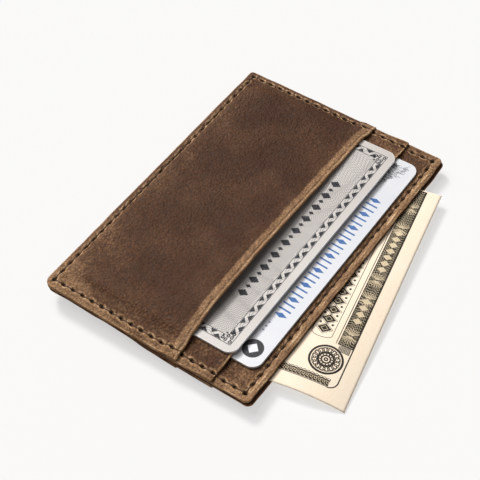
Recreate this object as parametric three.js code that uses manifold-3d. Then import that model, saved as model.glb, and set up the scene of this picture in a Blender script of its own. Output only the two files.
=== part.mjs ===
// A slim leather card wallet, lying on its back with its pockets loaded.
// Millimetres. +X runs along the wallet's long side, +Y from the closed long side to the
// open one, +Z up from the back face, whose centre is the origin.
//
// From the back up: two back pocket panels, the back divider, the cash pocket with its folded
// note, its lining, the front divider, a card, the second front pocket panel, a card, and the
// front pocket panel. One line of stitches round three sides holds the leather together.
import * as THREE from "three";
import { mergeVertices } from "three/addons/utils/BufferGeometryUtils.js";
import Module from "manifold-3d";

const wasm = await Module();
wasm.setup();

// The wallet's outline and its materials' thicknesses.
const LENGTH = 102;
const WIDTH = 70;
const BACK_DIVIDER_REACH = 0.6; // the back divider's open edge stands proud by this
const CORNER_RADIUS = 3.5;
const LEATHER = 0.85;
const LINING = 0.3;
const LAYER_GAP = 0.05; // between neighbouring layers, and round whatever slides
const POCKET_SLACK = 0.3; // spare depth in the empty back pockets

// What the pockets hold: standard bank cards, and a note folded in half.
const CARD = { width: 85.6, height: 53.98, thickness: 0.76, radius: 3.18 };
const PAYMENT_CARD_TOP = [-0.6, 24]; // middle of the card's top edge
const ID_CARD_TOP = [-1, 31.2];
const NOTE = { width: 78, height: 60, leaf: 0.11, thickness: 0.3, fold: 0.25 };
const NOTE_CENTRE = [4.5, 18.9];
const NOTE_TURN = THREE.MathUtils.degToRad(10.8);
const NOTE_DROOP_START = 38.5; // past this line the note sags to the table
const NOTE_DROOP_END = 55.7;
const NOTE_TIP_CLEARANCE = 0.1;

// Pocket mouths, and the pieces of each panel's outline.
const FRONT_MOUTH = 11.5;
const SECOND_MOUTH = 23.4;
const EAR_START = 8; // a second pocket panel is as wide as the wallet only above this line
const EAR_RAMP = 2.5;
const NECK_HALF_WIDTH = 44; // a second pocket panel below its ears, and the raised middle
const FLOOR_EDGE = -27.5; // lower edge of a second pocket panel
const FLOOR_LINE = -24.7; // the panel leaves the divider here
const FLOOR_TOP = -23.5; // and is clear of the card from here up

// The stitched band round the edge, and how far inside it each panel has risen.
const BAND = 3;
const SEAM_INSET = 2.4;
const FRONT_RISE_END = -30.5;
const RISE_END = FLOOR_EDGE;
const CLOSED_SIDE_LIFT = 1; // the seam stands this much higher along the closed side
const LIFT_END = -6; // and comes down to its level along the short sides by here

const THREAD = { width: 0.5, height: 0.2, gap: 0.03, end_gap: 0.35 };
const GROOVE = { margin: 0.05, depth: 0.25, over: 1 };

const HALF_LENGTH = LENGTH / 2;
const HALF_WIDTH = WIDTH / 2;
const BAND_X = HALF_LENGTH - BAND;
const BAND_Y = -HALF_WIDTH + BAND;
const SEAM_X = HALF_LENGTH - SEAM_INSET;
const SEAM_Y = HALF_WIDTH - SEAM_INSET;
const FLOOR_SEAM_Y = (FLOOR_EDGE + FLOOR_LINE) / 2;
const STEP = LEATHER + LAYER_GAP;
const CARD_STEP = CARD.thickness + LAYER_GAP;

// Every layer bends only along these lines, so that neighbours never cross.
const X_LINES = [-HALF_LENGTH, -BAND_X, -NECK_HALF_WIDTH, NECK_HALF_WIDTH, BAND_X, HALF_LENGTH];
const Y_LINES = [
  -HALF_WIDTH,
  BAND_Y,
  FRONT_RISE_END,
  FLOOR_EDGE,
  FLOOR_LINE,
  FLOOR_TOP,
  LIFT_END,
  EAR_START - EAR_RAMP,
  EAR_START,
  FRONT_MOUTH,
  SECOND_MOUTH,
  HALF_WIDTH,
];

// Height of each layer's underside in the middle of the wallet.
const MIDDLE = { back_pocket: 0 };
MIDDLE.second_back = LEATHER + POCKET_SLACK;
MIDDLE.back_divider = MIDDLE.second_back + STEP;
MIDDLE.note = MIDDLE.back_divider + STEP;
MIDDLE.lining = MIDDLE.note + NOTE.thickness + LAYER_GAP;
MIDDLE.front_divider = MIDDLE.lining + LINING + LAYER_GAP;
MIDDLE.id_card = MIDDLE.front_divider + STEP;
MIDDLE.second_front = MIDDLE.id_card + CARD_STEP;
MIDDLE.payment_card = MIDDLE.second_front + STEP;
MIDDLE.front_pocket = MIDDLE.payment_card + CARD_STEP;

// The same in the stitched band, where the pocket panels are drawn in to the dividers. The
// lining stays a note's thickness off the back divider, so that the note is free to slide.
const SEAM = { ...MIDDLE };
SEAM.back_pocket = MIDDLE.back_divider - STEP;
SEAM.second_front = MIDDLE.front_divider + STEP;
SEAM.front_pocket = MIDDLE.front_divider + STEP;

const LEATHER_FRONT = material(0x5c4232, 0.6, 0);
const LEATHER_MIDDLE = material(0x80623f, 0.65, 0);
const LEATHER_BACK = material(0x5a4030, 0.65, 0);
const LINING_CLOTH = material(0x3a2b20, 0.9, 0);
const THREAD_WAXED = material(0x2c1d14, 0.7, 0);
const CARD_SILVER = material(0xb9b5ae, 0.35, 0.2);
const CARD_PALE = material(0xdcdde6, 0.35, 0);
const NOTE_PAPER = material(0xf0dfc0, 0.9, 0);

function material(color, roughness, metalness) {
  return new THREE.MeshStandardMaterial({ color, roughness, metalness });
}

// --- Solids -----------------------------------------------------------------------------

function solidFrom(geometry) {
  const bare = geometry.clone();
  bare.deleteAttribute("normal");
  bare.deleteAttribute("uv");
  const merged = mergeVertices(bare, 1e-4);
  return new wasm.Manifold(
    new wasm.Mesh({
      numProp: 3,
      vertProperties: merged.attributes.position.array,
      triVerts: new Uint32Array(merged.index.array),
    }),
  );
}

function geometryFrom(solid) {
  const mesh = solid.getMesh();
  const geometry = new THREE.BufferGeometry();
  geometry.setAttribute("position", new THREE.BufferAttribute(mesh.vertProperties, 3));
  geometry.setIndex(new THREE.BufferAttribute(mesh.triVerts, 1));
  geometry.computeVertexNormals();
  return geometry;
}

// A slab over the cells that inside(x, y) picks from the grid of xLines and yLines. Its
// underside is at heightAt(x, y), and it is thickness deep.
function slab(xLines, yLines, inside, heightAt, thickness) {
  const positions = [];
  const point = (i, j, up) => {
    const [x, y] = [xLines[i], yLines[j]];
    return [x, y, heightAt(x, y) + up * thickness];
  };
  const triangle = (...corners) => corners.forEach((corner) => positions.push(...corner));
  const filled = (i, j) => {
    const onGrid = i >= 0 && j >= 0 && i < xLines.length - 1 && j < yLines.length - 1;
    return onGrid && inside((xLines[i] + xLines[i + 1]) / 2, (yLines[j] + yLines[j + 1]) / 2);
  };
  const wall = (a, b) => {
    triangle(point(...a, 0), point(...b, 0), point(...b, 1));
    triangle(point(...a, 0), point(...b, 1), point(...a, 1));
  };
  for (let i = 0; i < xLines.length - 1; i++) {
    for (let j = 0; j < yLines.length - 1; j++) {
      if (!filled(i, j)) continue;
      // The cell's corners, anticlockwise, starting where its diagonal does.
      const ring = [[i, j], [i + 1, j], [i + 1, j + 1], [i, j + 1]];
      const leftHalf = xLines[i] + xLines[i + 1] < 0;
      const [a, b, c, d] = leftHalf ? ring : [ring[1], ring[2], ring[3], ring[0]];
      triangle(point(...a, 1), point(...b, 1), point(...c, 1));
      triangle(point(...a, 1), point(...c, 1), point(...d, 1));
      triangle(point(...a, 0), point(...c, 0), point(...b, 0));
      triangle(point(...a, 0), point(...d, 0), point(...c, 0));
      if (!filled(i, j - 1)) wall(ring[0], ring[1]);
      if (!filled(i + 1, j)) wall(ring[1], ring[2]);
      if (!filled(i, j + 1)) wall(ring[2], ring[3]);
      if (!filled(i - 1, j)) wall(ring[3], ring[0]);
    }
  }
  const geometry = new THREE.BufferGeometry();
  geometry.setAttribute("position", new THREE.Float32BufferAttribute(positions, 3));
  return solidFrom(geometry);
}

function roundedRectangle(width, height, radius) {
  const [w, h] = [width / 2, height / 2];
  const shape = new THREE.Shape();
  shape.moveTo(-w + radius, -h);
  shape.absarc(w - radius, -h + radius, radius, -Math.PI / 2, 0);
  shape.absarc(w - radius, h - radius, radius, 0, Math.PI / 2);
  shape.absarc(-w + radius, h - radius, radius, Math.PI / 2, Math.PI);
  shape.absarc(-w + radius, -h + radius, radius, Math.PI, 1.5 * Math.PI);
  return shape;
}

function plate(shape, thickness, curveSegments = 6) {
  const options = { depth: thickness, bevelEnabled: false, curveSegments };
  return new THREE.ExtrudeGeometry(shape, options);
}

// The wallet's outline as a tall block, to round the corners of whatever it meets. Its open
// side can reach past the others'.
const OUTLINE_HEIGHT = 20;

function outlineBlock(reach) {
  const outline = roundedRectangle(LENGTH, WIDTH + reach, CORNER_RADIUS);
  return solidFrom(plate(outline, OUTLINE_HEIGHT).translate(0, reach / 2, -OUTLINE_HEIGHT / 4));
}

function box(xRange, yRange, zRange) {
  const size = [xRange, yRange, zRange].map(([low, high]) => high - low);
  const middle = [xRange, yRange, zRange].map(([low, high]) => (low + high) / 2);
  return new THREE.BoxGeometry(...size).translate(...middle);
}

// --- Leather panels ------------------------------------------------------------------------

function ramp(value, from, to) {
  return THREE.MathUtils.clamp((value - from) / (to - from), 0, 1);
}

function liftAt(y) {
  return CLOSED_SIDE_LIFT * (1 - ramp(y, BAND_Y, LIFT_END));
}

// Underside of a layer: level with the seam in the band, and at its middle height inside.
function layerHeight(seam, middle, riseEnd = RISE_END) {
  return (x, y) => {
    const fromSide = ramp(-Math.abs(x), -BAND_X, -NECK_HALF_WIDTH);
    const fromClosedSide = ramp(y, BAND_Y, riseEnd);
    const risen = Math.min(fromSide, fromClosedSide);
    return THREE.MathUtils.lerp(seam(y) + liftAt(y), middle(y), risen);
  };
}

const level = (height) => () => height;
const stepAtEars = (below, beside) => (y) =>
  THREE.MathUtils.lerp(below, beside, ramp(y, EAR_START - EAR_RAMP, EAR_START));

const wholeOutline = () => true;
const belowMouth = (x, y) => y < FRONT_MOUTH;
const betweenFloorAndMouth = (x, y) => y > FLOOR_EDGE && y < SECOND_MOUTH;
const tShape = (x, y) =>
  betweenFloorAndMouth(x, y) && (y > EAR_START || Math.abs(x) < NECK_HALF_WIDTH);

const HEIGHT = {
  front_pocket: layerHeight(
    stepAtEars(SEAM.front_pocket, SEAM.front_pocket + STEP),
    level(MIDDLE.front_pocket),
    FRONT_RISE_END,
  ),
  second_front: layerHeight(level(SEAM.second_front), (y) =>
    THREE.MathUtils.lerp(MIDDLE.id_card, MIDDLE.second_front, ramp(y, FLOOR_LINE, FLOOR_TOP)),
  ),
  front_divider: layerHeight(level(SEAM.front_divider), level(MIDDLE.front_divider)),
  lining: layerHeight(level(SEAM.lining), level(MIDDLE.lining)),
  back_divider: layerHeight(level(SEAM.back_divider), level(MIDDLE.back_divider)),
  second_back: layerHeight(level(SEAM.second_back), level(MIDDLE.second_back)),
  back_pocket: layerHeight(
    stepAtEars(SEAM.back_pocket, SEAM.back_pocket - STEP),
    level(MIDDLE.back_pocket),
  ),
};

function panel(layer, inside, { thickness = LEATHER, reach = 0 } = {}) {
  const yLines = [...Y_LINES.slice(0, -1), HALF_WIDTH + reach];
  const sheet = slab(X_LINES, yLines, inside, HEIGHT[layer], thickness);
  return sheet.intersect(outlineBlock(reach));
}

function backDivider() {
  return panel("back_divider", wholeOutline, { reach: BACK_DIVIDER_REACH });
}

function cashPocketLining() {
  return panel("lining", wholeOutline, { thickness: LINING });
}

// A strip along the open side, at a height above the front divider's underside.
function openSideStrip(layer, halfLength, width, above, thickness) {
  const xLines = [-halfLength, -NECK_HALF_WIDTH, NECK_HALF_WIDTH, halfLength];
  const yLines = [SEAM_Y - width / 2, SEAM_Y + width / 2];
  const heightAt = (x, y) => HEIGHT[layer](x, y) + above;
  return slab(xLines, yLines, wholeOutline, heightAt, thickness);
}

// The cards slide over the divider's edge stitches, so these lie in a groove.
function frontDivider() {
  const halfLength = BAND_X - THREAD.end_gap + GROOVE.margin;
  const width = THREAD.width + 2 * GROOVE.margin;
  const above = LEATHER - GROOVE.depth;
  const groove = openSideStrip("front_divider", halfLength, width, above, GROOVE.over);
  return panel("front_divider", wholeOutline).subtract(groove);
}

// --- Threads ------------------------------------------------------------------------------

// A rail of thread along Y at one short side. surface lists [y, z] down the seam in order, and
// where z steps between two points with one y, the rail turns down (or up) past the edge.
function sideRail(x, surface, side) {
  const near = surface.map(([y, z]) => [y, z + side * THREAD.gap]);
  const far = surface.map(([y, z]) => [y, z + side * (THREAD.gap + THREAD.height)]);
  const clearOfStep = (points, distance) =>
    points.map(([y, z], i) => {
      const atStep = [i - 1, i + 1].some((k) => surface[k] && surface[k][0] === surface[i][0]);
      return [atStep ? y + distance : y, z];
    });
  const outline = [
    ...clearOfStep(near, THREAD.gap),
    ...clearOfStep(far, THREAD.gap + THREAD.height).reverse(),
  ];
  const shape = new THREE.Shape(outline.map(([y, z]) => new THREE.Vector2(y, z)));
  const yzPlane = new THREE.Matrix4().makeBasis(
    new THREE.Vector3(0, 1, 0),
    new THREE.Vector3(0, 0, 1),
    new THREE.Vector3(1, 0, 0),
  );
  const rail = plate(shape, THREAD.width).applyMatrix4(yzPlane);
  return solidFrom(rail.translate(x - THREAD.width / 2, 0, 0));
}

// The seam's thread on one face of the wallet: both short sides and the closed side.
function perimeterThread(surface, side) {
  const closedSideLevel = surface[0][1];
  const faces = [THREAD.gap, THREAD.gap + THREAD.height].map((d) => closedSideLevel + side * d);
  const halfRun = SEAM_X + THREAD.width / 2;
  const closedSide = box(
    [-halfRun, halfRun],
    [-SEAM_Y - THREAD.width / 2, -SEAM_Y + THREAD.width / 2],
    [Math.min(...faces), Math.max(...faces)],
  );
  return sideRail(-SEAM_X, surface, side)
    .add(sideRail(SEAM_X, surface, side))
    .add(solidFrom(closedSide));
}

// The levels that the seam crosses from the closed side to the open side.
function seamSurface(outer, second, divider, up) {
  const ys = [-SEAM_Y, BAND_Y, LIFT_END, EAR_START - EAR_RAMP, EAR_START, FRONT_MOUTH];
  const at = (layer, y) => [y, HEIGHT[layer](SEAM_X, y) + up];
  return [
    ...ys.map((y) => at(outer, y)),
    at(second, FRONT_MOUTH),
    at(second, SECOND_MOUTH),
    at(divider, SECOND_MOUTH),
    at(divider, SEAM_Y),
  ];
}

function frontEdgeThread() {
  const above = LEATHER - GROOVE.depth + THREAD.gap;
  const halfLength = BAND_X - THREAD.end_gap;
  return openSideStrip("front_divider", halfLength, THREAD.width, above, THREAD.height);
}

function backEdgeThread() {
  const below = -THREAD.gap - THREAD.height;
  const halfLength = BAND_X - THREAD.end_gap;
  return openSideStrip("back_divider", halfLength, THREAD.width, below, THREAD.height);
}

function floorThread(surfaceZ, side) {
  const faces = [THREAD.gap, THREAD.gap + THREAD.height].map((d) => surfaceZ + side * d);
  const halfRun = NECK_HALF_WIDTH - SEAM_INSET;
  return box(
    [-halfRun, halfRun],
    [FLOOR_SEAM_Y - THREAD.width / 2, FLOOR_SEAM_Y + THREAD.width / 2],
    [Math.min(...faces), Math.max(...faces)],
  );
}

// --- Cards and the note --------------------------------------------------------------------

function card([topX, topY], underside) {
  const shape = roundedRectangle(CARD.width, CARD.height, CARD.radius);
  return plate(shape, CARD.thickness).translate(topX, topY - CARD.height / 2, underside);
}

function noteDroop(y) {
  const deepest = MIDDLE.note - NOTE_TIP_CLEARANCE;
  return deepest * Math.max(0, (y - NOTE_DROOP_START) / (NOTE_DROOP_END - NOTE_DROOP_START)) ** 2;
}

// A stretch of the note's rectangle, from one x to another along its own width.
function noteOutline(fromX, toX) {
  const tall = box([fromX, toX], [-NOTE.height / 2, NOTE.height / 2], [-WIDTH, WIDTH]);
  return solidFrom(tall.rotateZ(NOTE_TURN).translate(...NOTE_CENTRE, 0));
}

function noteSheet(above, thickness) {
  const droopSteps = 4;
  const yLines = [-HALF_WIDTH];
  for (let i = 0; i <= droopSteps; i++)
    yLines.push(THREE.MathUtils.lerp(NOTE_DROOP_START, NOTE_DROOP_END + 1, i / droopSteps));
  const heightAt = (x, y) => MIDDLE.note + above - noteDroop(y);
  return slab([-HALF_LENGTH, HALF_LENGTH], yLines, wholeOutline, heightAt, thickness);
}

function foldedNote() {
  const half = NOTE.width / 2;
  const leafOutline = noteOutline(-half, half);
  const lowerLeaf = noteSheet(0, NOTE.leaf).intersect(leafOutline);
  const upperLeaf = noteSheet(NOTE.thickness - NOTE.leaf, NOTE.leaf).intersect(leafOutline);
  const fold = noteSheet(0, NOTE.thickness).intersect(noteOutline(-half, -half + NOTE.fold));
  return lowerLeaf.add(upperLeaf).add(fold);
}

// --- The wallet ----------------------------------------------------------------------------

const wallet = new THREE.Group();
wallet.name = "card_wallet";

function place(name, geometry, finish) {
  const mesh = new THREE.Mesh(geometry, finish);
  mesh.name = name;
  wallet.add(mesh);
}

place("front_pocket_panel", geometryFrom(panel("front_pocket", belowMouth)), LEATHER_FRONT);
place("second_front_pocket_panel", geometryFrom(panel("second_front", tShape)), LEATHER_MIDDLE);
place("front_divider_panel", geometryFrom(frontDivider()), LEATHER_MIDDLE);
place("cash_pocket_lining", geometryFrom(cashPocketLining()), LINING_CLOTH);
place("back_divider_panel", geometryFrom(backDivider()), LEATHER_BACK);
place("second_back_pocket_panel", geometryFrom(panel("second_back", tShape)), LEATHER_BACK);
place("back_pocket_panel", geometryFrom(panel("back_pocket", belowMouth)), LEATHER_BACK);

const frontSeam = seamSurface("front_pocket", "second_front", "front_divider", LEATHER);
const backSeam = seamSurface("back_pocket", "second_back", "back_divider", 0);
place("perimeter_needle_thread", geometryFrom(perimeterThread(frontSeam, 1)), THREAD_WAXED);
place("perimeter_bobbin_thread", geometryFrom(perimeterThread(backSeam, -1)), THREAD_WAXED);
place("front_divider_edge_thread", geometryFrom(frontEdgeThread()), THREAD_WAXED);
place("back_divider_edge_thread", geometryFrom(backEdgeThread()), THREAD_WAXED);
place("front_pocket_floor_thread", floorThread(MIDDLE.id_card + LEATHER, 1), THREAD_WAXED);
place("back_pocket_floor_thread", floorThread(MIDDLE.second_back, -1), THREAD_WAXED);

place("payment_card", card(PAYMENT_CARD_TOP, MIDDLE.payment_card), CARD_SILVER);
place("id_card", card(ID_CARD_TOP, MIDDLE.id_card), CARD_PALE);
place("folded_banknote", geometryFrom(foldedNote()), NOTE_PAPER);

export default wallet;
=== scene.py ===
"""The looks of a slim leather card wallet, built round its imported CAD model.

Sizes are in millimetres in this script and are turned into metres where a mesh is made.
+X runs along the wallet's long side, +Y to its open side and +Z out of its front face.
"""
import math

import bpy
import numpy as np
from mathutils import Matrix, Vector


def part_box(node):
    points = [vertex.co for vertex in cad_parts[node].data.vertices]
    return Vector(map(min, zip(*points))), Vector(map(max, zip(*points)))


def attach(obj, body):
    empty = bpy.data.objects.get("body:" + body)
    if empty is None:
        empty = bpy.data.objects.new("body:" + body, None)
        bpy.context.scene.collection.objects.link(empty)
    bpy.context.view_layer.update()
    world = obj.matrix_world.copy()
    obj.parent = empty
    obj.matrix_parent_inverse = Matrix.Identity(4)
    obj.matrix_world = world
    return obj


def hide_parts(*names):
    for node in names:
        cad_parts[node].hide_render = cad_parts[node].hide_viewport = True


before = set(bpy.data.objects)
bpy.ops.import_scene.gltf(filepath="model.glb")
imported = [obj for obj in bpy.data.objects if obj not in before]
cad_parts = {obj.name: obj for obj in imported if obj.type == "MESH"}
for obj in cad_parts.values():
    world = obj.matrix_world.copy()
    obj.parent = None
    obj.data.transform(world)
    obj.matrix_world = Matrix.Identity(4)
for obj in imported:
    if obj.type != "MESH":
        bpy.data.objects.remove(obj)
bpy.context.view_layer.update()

MM = 0.001
RNG = np.random.default_rng(7)


# --- Sizes, read from the frame ---

def node_box(node):
    """Lowest and highest corner of a CAD node, in millimetres."""
    low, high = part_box(node)
    return np.array(low) / MM, np.array(high) / MM


HALF_LENGTH, HALF_WIDTH, _ = node_box("front_divider_panel")[1]
BACK_REACH = node_box("back_divider_panel")[1][1]
FRONT_MOUTH = node_box("front_pocket_panel")[1][1]
FLOOR_EDGE, SECOND_MOUTH = (corner[1] for corner in node_box("second_front_pocket_panel"))
PAYMENT_LOW, PAYMENT_HIGH = node_box("payment_card")
ID_LOW, ID_HIGH = node_box("id_card")

LEATHER = 0.85
LAYER_GAP = 0.05
STEP = LEATHER + LAYER_GAP
LINING = 0.3
NOTE_THICKNESS = 0.3
NEAR_CORNER = 3.0  # radii of the closed side's corners
FAR_CORNER = 1.3
SEAM_INSET = 2.4
SEAM_X = HALF_LENGTH - SEAM_INSET
SEAM_Y = HALF_WIDTH - SEAM_INSET
STITCH_PITCH = 3.5
BAND_X = 48.0  # the stitched band lies outside these lines
BAND_Y = -32.0
EAR_START = 8.0  # a second pocket is as wide as the wallet only above this line
EAR_RAMP = 2.5
NECK_HALF_WIDTH = 44.0  # and this wide below it

# Underside of each layer in the middle of the wallet.
MIDDLE_FRONT = PAYMENT_HIGH[2] + LAYER_GAP
MIDDLE_SECOND = ID_HIGH[2] + LAYER_GAP
MIDDLE_DIVIDER = ID_LOW[2] - STEP
MIDDLE_LINING = MIDDLE_DIVIDER - LINING - LAYER_GAP
MIDDLE_BACK = MIDDLE_LINING - 2 * LAYER_GAP - NOTE_THICKNESS - LEATHER
NOTE_Z = MIDDLE_BACK + STEP


# --- Small tools ---

def smooth(t):
    t = np.clip(t, 0, 1)
    return t * t * (3 - 2 * t)


def ramp(value, start, end):
    """0 at start and 1 at end, with an eased slope between them."""
    return smooth((value - start) / (end - start))


def lerp(a, b, t):
    return a + (b - a) * t


def bell(x, width):
    """1 at x = 0, falling to 0 over about two widths."""
    return np.exp(-(x / width) ** 2)


class Waves:
    """A smooth random field: a few plane waves, between about -1 and 1."""

    def __init__(self, wavelength, count=9):
        angle = RNG.uniform(0, 2 * math.pi, count)
        size = 2 * math.pi / (wavelength * RNG.uniform(0.7, 1.5, count))
        self.kx = size * np.cos(angle)
        self.ky = size * np.sin(angle)
        self.phase = RNG.uniform(0, 2 * math.pi, count)

    def __call__(self, x, y):
        waves = zip(self.kx, self.ky, self.phase)
        total = sum(np.sin(kx * x + ky * y + phase) for kx, ky, phase in waves)
        return total / math.sqrt(len(self.phase)) / 1.4


def outline_distance(x, y, middle, half, radius):
    """Distance from a rectangle with round corners, negative inside it."""
    qx = np.abs(x - middle[0]) - half[0] + radius
    qy = np.abs(y - middle[1]) - half[1] + radius
    outside = np.hypot(np.maximum(qx, 0), np.maximum(qy, 0))
    return outside + np.minimum(np.maximum(qx, qy), 0) - radius


def polar(centre, radius, angle):
    return np.stack([centre[0] + radius * np.cos(angle), centre[1] + radius * np.sin(angle)], 1)


# --- Materials ---

def srgb(red, green, blue):
    """An 8-bit display colour as a linear one."""
    def channel(value):
        value = value / 255
        return value / 12.92 if value <= 0.04045 else ((value + 0.055) / 1.055) ** 2.4
    return (channel(red), channel(green), channel(blue), 1)


class Finish:
    """A material's node tree, with short names for the nodes that these looks need."""

    def __init__(self, name, roughness=0.5, specular=0.5):
        self.material = bpy.data.materials.new(name)
        self.material.use_nodes = True
        self.tree = self.material.node_tree
        self.shader = self.tree.nodes["Principled BSDF"]
        self.shader.inputs["Roughness"].default_value = roughness
        self.shader.inputs["Specular IOR Level"].default_value = specular
        self.place = self.node("ShaderNodeTexCoord")["Object"]

    def put(self, socket, value):
        if isinstance(value, bpy.types.NodeSocket):
            self.tree.links.new(value, socket)
        else:
            socket.default_value = value

    def node(self, kind, inputs=(), **settings):
        """A new node's outputs. inputs holds values, or other nodes' outputs, by socket."""
        made = self.tree.nodes.new(kind)
        for key, value in settings.items():
            setattr(made, key, value)
        for socket, value in dict(inputs).items():
            self.put(made.inputs[socket], value)
        return made.outputs

    def noise(self, size_mm, detail=2, roughness=0.5, stretch=None):
        inputs = {"Scale": 1 / (size_mm * MM), "Detail": detail, "Roughness": roughness}
        place = self.place
        if stretch:
            place = self.node("ShaderNodeMapping", {"Scale": stretch, "Vector": place})["Vector"]
        return self.node("ShaderNodeTexNoise", inputs | {"Vector": place})["Fac"]

    def cells(self, size_mm):
        inputs = {"Scale": 1 / (size_mm * MM), "Vector": self.place}
        return self.node("ShaderNodeTexVoronoi", inputs, feature="DISTANCE_TO_EDGE")["Distance"]

    def attribute(self, name):
        return self.node("ShaderNodeAttribute", attribute_name=name)["Fac"]

    def math(self, operation, *values):
        return self.node("ShaderNodeMath", dict(enumerate(values)), operation=operation)[0]

    def remap(self, value, low, high, to_low=0.0, to_high=1.0):
        inputs = {"Value": value, "From Min": low, "From Max": high}
        inputs |= {"To Min": to_low, "To Max": to_high}
        return self.node("ShaderNodeMapRange", inputs)["Result"]

    def mix(self, share, one, other):
        return self.node("ShaderNodeMix", {0: share, 6: one, 7: other}, data_type="RGBA")[2]

    def bump(self, height, depth_mm, below=None):
        inputs = {"Distance": depth_mm * MM, "Height": height}
        if below is not None:
            inputs["Normal"] = below
        return self.node("ShaderNodeBump", inputs)["Normal"]

    def finished(self, colour, **others):
        """The material, once its shader has a colour and whatever else varies over it."""
        self.put(self.shader.inputs["Base Color"], colour)
        for name, value in others.items():
            self.put(self.shader.inputs[name.title()], value)
        return self.material


def pull_up_leather():
    """Waxed brown leather that pales where it is bent or rubbed.

    The sheets carry four values at each vertex. A little wear turns the brown paler, more of
    it bares the tops of the grain and then all of it, and above 1 it brightens a ridge with a
    painted highlight, partly burnish. Shade is painted shade that darkens needle holes, seam
    lines and creases. Edge is 1 on the cut edges, and flesh is 1 on the suede side.
    """
    finish = Finish("pull_up_leather", specular=0.12)
    noise, mix, remap = finish.noise, finish.mix, finish.remap
    wear_and_highlight = finish.attribute("wear_and_highlight")
    clouds = remap(noise(30, 3, 0.6), 0.36, 0.66)
    patches = remap(noise(9, 4, 0.62), 0.34, 0.68)
    grain = noise(0.75, 3, 0.62)
    pebbles = finish.cells(1.0)
    smear = noise(3.2, 3, 0.6, stretch=(0.35, 1, 1))

    brown = mix(clouds, srgb(74, 43, 26), srgb(86, 54, 34))
    brown = mix(finish.math("MULTIPLY", patches, 0.4), brown, srgb(86, 62, 43))
    half_worn = mix(patches, srgb(116, 82, 56), srgb(130, 94, 64))
    brown = mix(remap(wear_and_highlight, 0, 0.45, 0, 0.8), brown, half_worn)
    brown = mix(remap(grain, 0.34, 0.6, 0.62, 0), brown, srgb(50, 29, 19))
    rubbed_and_highlight = finish.math("ADD", finish.math("MULTIPLY", grain, 0.85), wear_and_highlight)
    rubbed_and_highlight = finish.math("ADD", rubbed_and_highlight, remap(smear, 0.3, 0.7, -0.08, 0.08))
    worn = mix(remap(rubbed_and_highlight, 0.76, 1.5), brown, srgb(180, 141, 104))
    # Above 1 the wear value paints a highlight on ridges, partly burnish
    worn = mix(remap(wear_and_highlight, 1.0, 1.5), worn, srgb(232, 196, 156))
    worn = mix(remap(pebbles, 0.0, 0.16, 0.45, 0), worn, srgb(46, 30, 22))

    layers = noise(0.5, 3, 0.6, stretch=(0.22, 0.22, 2.4))
    cut = mix(remap(layers, 0.32, 0.68), srgb(98, 64, 41), srgb(176, 134, 92))
    suede = mix(noise(0.35, 4, 0.7), srgb(80, 50, 35), srgb(126, 88, 62))
    made = mix(finish.attribute("edge"), worn, cut)
    made = mix(finish.attribute("flesh"), made, suede)
    # Painted shade: darkens needle holes, seam lines and creases
    made = mix(finish.attribute("shade"), made, srgb(14, 9, 6))

    waxy = remap(noise(3, 3, 0.6), 0.3, 0.7, 0.46, 0.62)
    fuzzy = finish.math("MULTIPLY", finish.attribute("flesh"), 0.3)
    roughness = finish.math("ADD", waxy, fuzzy)
    hills = finish.bump(noise(2.6, 2, 0.5), 0.3)
    pebbled = finish.bump(remap(pebbles, 0, 0.45), 0.1, hills)
    return finish.finished(made, roughness=roughness, normal=finish.bump(grain, 0.4, pebbled))


def waxed_thread():
    finish = Finish("waxed_thread", specular=0.3, roughness=0.55)
    twist = finish.noise(0.18, 2, 0.5)
    brown = finish.mix(twist, srgb(44, 29, 20), srgb(96, 68, 46))
    return finish.finished(brown, normal=finish.bump(twist, 0.05))


def lining_cloth():
    finish = Finish("lining_cloth", roughness=0.9, specular=0.15)
    weave = finish.noise(0.3, 1, 0.4, stretch=(1, 0.4, 1))
    brown = finish.mix(weave, srgb(44, 31, 23), srgb(72, 52, 38))
    return finish.finished(brown, normal=finish.bump(weave, 0.05))


def card_plastic(name, face, tint, core):
    """Printed card: a satin face over a pale core that shows at its cut edges."""
    finish = Finish(name, roughness=0.34, specular=0.45)
    cloud = finish.remap(finish.noise(18, 2, 0.5), 0.35, 0.65)
    fine = finish.remap(finish.noise(0.2, 2, 0.6), 0.3, 0.7, 0.0, 0.25)
    printed = finish.mix(cloud, face, tint)
    printed = finish.mix(fine, printed, core)
    return finish.finished(
        finish.mix(finish.attribute("edge"), printed, core),
        roughness=finish.remap(cloud, 0, 1, 0.3, 0.38),
        normal=finish.bump(finish.noise(0.4, 2, 0.5), 0.004),
    )


def note_paper():
    finish = Finish("note_paper", roughness=0.85, specular=0.2)
    cloud = finish.noise(9, 3, 0.6)
    fibre = finish.noise(0.25, 3, 0.7, stretch=(0.4, 1, 1))
    paper = finish.mix(cloud, srgb(255, 243, 224), srgb(255, 234, 208))
    paper = finish.mix(finish.remap(fibre, 0.45, 0.75, 0, 0.3), paper, srgb(226, 198, 160))
    return finish.finished(paper, normal=finish.bump(fibre, 0.02))


def ink(name, colour, worn, roughness=0.6):
    """Printing ink, a little uneven, as it takes on paper or plastic."""
    finish = Finish(name, roughness=roughness, specular=0.3)
    patch = finish.remap(finish.noise(0.5, 3, 0.6), 0.35, 0.75)
    return finish.finished(finish.mix(patch, colour, worn))


# --- Meshes ---

def new_object(name, points_mm, faces, material, smooth_shading=True):
    mesh = bpy.data.meshes.new(name)
    mesh.from_pydata((np.asarray(points_mm, float) * MM).tolist(), [], faces)
    mesh.validate()
    mesh.update()
    if smooth_shading:
        mesh.polygons.foreach_set("use_smooth", [True] * len(mesh.polygons))
    mesh.materials.append(material)
    made = bpy.data.objects.new(name, mesh)
    bpy.context.scene.collection.objects.link(made)
    return made


def set_attribute(obj, name, values):
    layer = obj.data.attributes.new(name, "FLOAT", "POINT")
    layer.data.foreach_set("value", np.asarray(values, np.float32).ravel())


def add_piece(obj, body, slot, *nodes):
    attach(obj, body)
    if nodes:
        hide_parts(*nodes)
    return obj


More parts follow.
